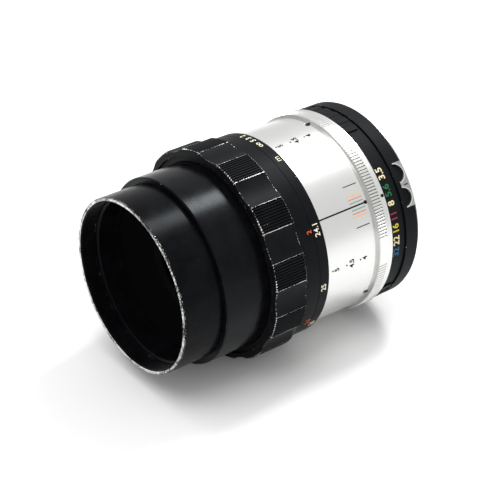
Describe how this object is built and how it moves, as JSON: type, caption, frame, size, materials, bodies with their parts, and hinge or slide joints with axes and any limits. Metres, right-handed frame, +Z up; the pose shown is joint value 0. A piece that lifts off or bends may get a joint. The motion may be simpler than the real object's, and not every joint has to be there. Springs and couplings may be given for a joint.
{
  "type": "prime camera lens",
  "caption": "Vintage close-focus prime lens, racked out: scalloped focusing ring, chrome scale sleeve, aperture ring with metering prong, iris, bayonet mount.",
  "frame": {"origin": "on the optical axis, in the plane of the mount's flange seat", "axes": "+Y along the optical axis towards the camera, -Y towards the subject; +Z up with the lens lying on its side, resting on the focusing ring"},
  "size_m": [0.0656, 0.0899, 0.0656],
  "materials": {
    "black_enamel": "satin black enamel, worn on the edges",
    "satin_chrome": "satin chrome plate",
    "bright_steel": "bright turned steel",
    "prong_nickel": "bright nickel plate",
    "brass": "turned brass, greased",
    "black_anodised": "matt black anodised",
    "helicoid_alloy": "turned alloy",
    "coated_glass": "coated optical glass",
    "blade_steel": "blued spring steel"
  },
  "bodies": {
    "mount": {"mount_flange": "bright_steel", "mount_screws": "bright_steel", "rear_housing": "brass", "scale_sleeve": "satin_chrome", "sleeve_set_screws": "blade_steel", "focus_guide_keys": "bright_steel"},
    "aperture": {"aperture_ring": "black_enamel", "meter_prong": "prong_nickel", "aperture_fork": "brass", "aperture_link_screws": "blade_steel"},
    "lever": {"stop_down_lever": "bright_steel"},
    "coupling": {"focus_coupling_ring": "brass"},
    "focus": {"focus_grip_ring": "black_enamel", "distance_scale_ring": "black_enamel", "middle_helicoid": "brass"},
    "barrel": {"front_tube": "black_enamel", "barrel_sleeve": "black_enamel", "inner_helicoid": "helicoid_alloy", "front_baffle": "black_anodised", "name_ring": "black_anodised", "front_cell": "black_anodised", "rear_cell": "black_anodised", "front_retaining_ring": "black_anodised", "rear_retaining_ring": "black_anodised", "iris_housing": "black_anodised", "iris_cover": "black_anodised", "lens_element_1": "coated_glass", "lens_element_2": "coated_glass", "lens_element_3": "coated_glass", "lens_element_4": "coated_glass", "lens_element_5": "coated_glass"},
    "iris_ring": {"iris_drive_ring": "blade_steel"},
    "blade_1": {"iris_blade_1": "blade_steel"},
    "blade_2": {"iris_blade_2": "blade_steel"},
    "blade_3": {"iris_blade_3": "blade_steel"},
    "blade_4": {"iris_blade_4": "blade_steel"},
    "blade_5": {"iris_blade_5": "blade_steel"},
    "blade_6": {"iris_blade_6": "blade_steel"}
  },
  "joints": [
    {"name": "aperture_turn", "type": "hinge", "parent": "mount", "child": "aperture", "pos_m": [0, 0, 0], "axis": [0, 1, 0], "range_deg": [-37, 10]},
    {"name": "focus_turn", "type": "hinge", "parent": "mount", "child": "coupling", "pos_m": [0, 0, 0], "axis": [0, 1, 0], "range_deg": [-305, 0]},
    {"name": "focus_travel", "type": "slide", "parent": "coupling", "child": "focus", "axis": [0, 1, 0], "range_m": [0, 0.0154]},
    {"name": "barrel_travel", "type": "slide", "parent": "mount", "child": "barrel", "axis": [0, 1, 0], "range_m": [0, 0.0275]},
    {"name": "stop_down", "type": "hinge", "parent": "mount", "child": "lever", "pos_m": [0, 0, 0], "axis": [0, 1, 0], "range_deg": [-12, 0], "stiffness_Nm_per_rad": 0.01, "springref_deg": 8.59},
    {"name": "iris_turn", "type": "hinge", "parent": "barrel", "child": "iris_ring", "pos_m": [0, 0, 0], "axis": [0, 1, 0], "range_deg": [-37, 10]},
    {"name": "blade_1_turn", "type": "hinge", "parent": "barrel", "child": "blade_1", "pos_m": [-0.00763, -0.0437, 0.01198], "axis": [0, 1, 0], "range_deg": [-7.2, 26.6]},
    {"name": "blade_2_turn", "type": "hinge", "parent": "barrel", "child": "blade_2", "pos_m": [0.00656, -0.0437, 0.0126], "axis": [0, 1, 0], "range_deg": [-7.2, 26.6]},
    {"name": "blade_3_turn", "type": "hinge", "parent": "barrel", "child": "blade_3", "pos_m": [0.01419, -0.0437, 0.00062], "axis": [0, 1, 0], "range_deg": [-7.2, 26.6]},
    {"name": "blade_4_turn", "type": "hinge", "parent": "barrel", "child": "blade_4", "pos_m": [0.00763, -0.0437, -0.01198], "axis": [0, 1, 0], "range_deg": [-7.2, 26.6]},
    {"name": "blade_5_turn", "type": "hinge", "parent": "barrel", "child": "blade_5", "pos_m": [-0.00656, -0.0437, -0.0126], "axis": [0, 1, 0], "range_deg": [-7.2, 26.6]},
    {"name": "blade_6_turn", "type": "hinge", "parent": "barrel", "child": "blade_6", "pos_m": [-0.01419, -0.0437, -0.00062], "axis": [0, 1, 0], "range_deg": [-7.2, 26.6]}
  ],
  "couplings": [
    {"joint": "focus_travel", "follows": "focus_turn", "m_per_rad": -0.002893},
    {"joint": "barrel_travel", "follows": "focus_turn", "m_per_rad": -0.005166},
    {"joint": "iris_turn", "follows": "aperture_turn", "ratio": 1},
    {"joint": "blade_1_turn", "follows": "aperture_turn", "ratio": -0.717},
    {"joint": "blade_2_turn", "follows": "aperture_turn", "ratio": -0.717},
    {"joint": "blade_3_turn", "follows": "aperture_turn", "ratio": -0.717},
    {"joint": "blade_4_turn", "follows": "aperture_turn", "ratio": -0.717},
    {"joint": "blade_5_turn", "follows": "aperture_turn", "ratio": -0.717},
    {"joint": "blade_6_turn", "follows": "aperture_turn", "ratio": -0.717}
  ]
}
